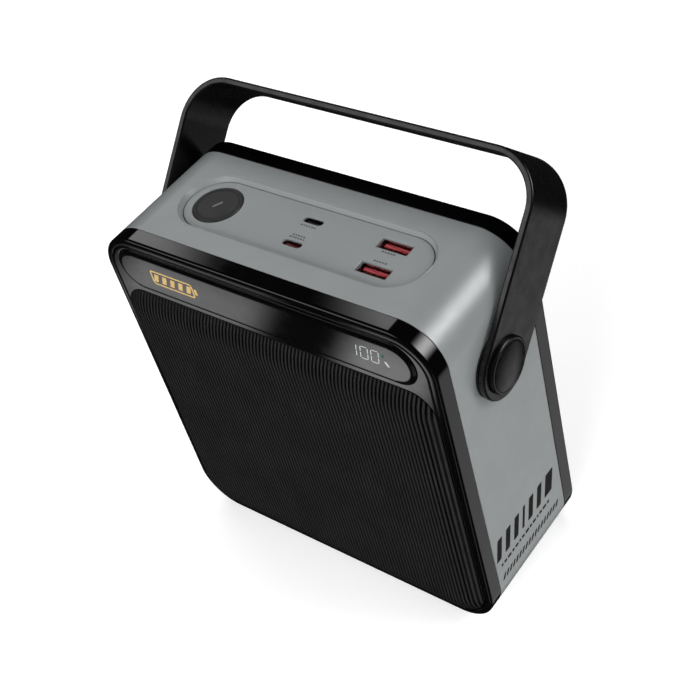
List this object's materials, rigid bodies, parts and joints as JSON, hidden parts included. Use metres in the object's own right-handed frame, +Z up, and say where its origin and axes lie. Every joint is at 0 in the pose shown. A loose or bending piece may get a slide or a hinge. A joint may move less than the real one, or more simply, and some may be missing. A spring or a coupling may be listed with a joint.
{
  "type": "portable power station",
  "caption": "Rounded box power bank with black ribbed front, grey band, top port bay with power button and USB sockets, and a swinging strap handle.",
  "frame": {"origin": "on the surface that the rubber base pad stands on, under the middle of the case", "axes": "+Z up, -Y towards the ribbed front with the display, +X to the right of someone facing the front"},
  "size_m": [0.1732, 0.0999, 0.19],
  "materials": {
    "band_grey": "satin moulded plastic",
    "bezel_black": "high gloss",
    "panel_black": "satin ribbed",
    "lens_black": "smoked, high gloss",
    "handle_black": "satin",
    "button_black": "fine matt",
    "washer_black": "waxy nylon",
    "pad_rubber": "matt",
    "socket_steel": "plated",
    "socket_red": "semi-gloss",
    "socket_dark_red": "semi-gloss",
    "socket_black": "semi-gloss",
    "board_green": "solder mask",
    "chip_black": "matt epoxy",
    "display_white": "matt",
    "harness_cream": "satin",
    "plunger_cream": "satin",
    "inductor_grey": "matt ferrite",
    "capacitor_sleeve": "satin sleeve",
    "holder_cream": "satin",
    "nickel": "bright strip",
    "screw_steel": "zinc plated",
    "spring_steel": "drawn wire",
    "lead_red": "silicone",
    "lead_black": "silicone",
    "cell_sleeve": "shrink sleeve"
  },
  "bodies": {
    "case": {"body_shell": "band_grey", "port_plate": "band_grey", "front_bezel": "bezel_black", "rear_bezel": "bezel_black", "front_plate": "bezel_black", "rear_plate": "bezel_black", "front_grille": "panel_black", "rear_grille": "panel_black", "display_lens": "lens_black", "display_board": "board_green", "display_module": "display_white", "display_ribbon": "harness_cream", "port_board": "board_green", "usb_a_shell_front": "socket_steel", "usb_a_shell_rear": "socket_steel", "usb_a_tongue_front": "socket_red", "usb_a_tongue_rear": "socket_red", "usb_c_shell_front": "socket_steel", "usb_c_shell_rear": "socket_steel", "usb_c_tongue_front": "socket_dark_red", "usb_c_tongue_rear": "socket_black", "button_spring": "spring_steel", "tact_switch": "chip_black", "port_board_screws": "screw_steel", "main_board": "board_green", "power_inductors": "inductor_grey", "capacitors": "capacitor_sleeve", "control_chips": "chip_black", "board_screws": "screw_steel", "port_harness": "harness_cream", "cell_holder_lower": "holder_cream", "cell_holder_upper": "holder_cream", "busbar_lower": "nickel", "busbar_upper": "nickel", "tie_bolts": "screw_steel", "battery_lead_red": "lead_red", "battery_lead_black": "lead_black", "pivot_bolts": "screw_steel", "pivot_washer_left": "washer_black", "pivot_washer_right": "washer_black", "pivot_nuts": "screw_steel", "bezel_screws": "screw_steel", "base_pad": "pad_rubber", "cell_1": "cell_sleeve", "cell_2": "cell_sleeve", "cell_3": "cell_sleeve", "cell_4": "cell_sleeve", "cell_5": "cell_sleeve", "cell_6": "cell_sleeve", "cell_7": "cell_sleeve", "cell_8": "cell_sleeve", "cell_9": "cell_sleeve", "cell_10": "cell_sleeve", "cell_11": "cell_sleeve", "cell_12": "cell_sleeve"},
    "handle": {"handle": "handle_black", "hub_cap_left": "handle_black", "hub_cap_right": "handle_black"},
    "power_button": {"power_button": "button_black"},
    "switch_plunger": {"tact_plunger": "plunger_cream"}
  },
  "joints": [
    {"name": "handle_swing", "type": "hinge", "parent": "case", "child": "handle", "pos_m": [0, 0, 0.1274], "axis": [1, 0, 0], "range_deg": [-90, 180]},
    {"name": "button_press", "type": "slide", "parent": "case", "child": "power_button", "axis": [0, 0, -1], "range_m": [0, 0.0008], "stiffness_N_per_m": 600, "springref_m": -0.0015, "deforming": ["button_spring"]},
    {"name": "plunger_press", "type": "slide", "parent": "case", "child": "switch_plunger", "axis": [0, 0, -1], "range_m": [0, 0.0008]}
  ],
  "couplings": [
    {"joint": "plunger_press", "follows": "button_press", "ratio": 1}
  ]
}
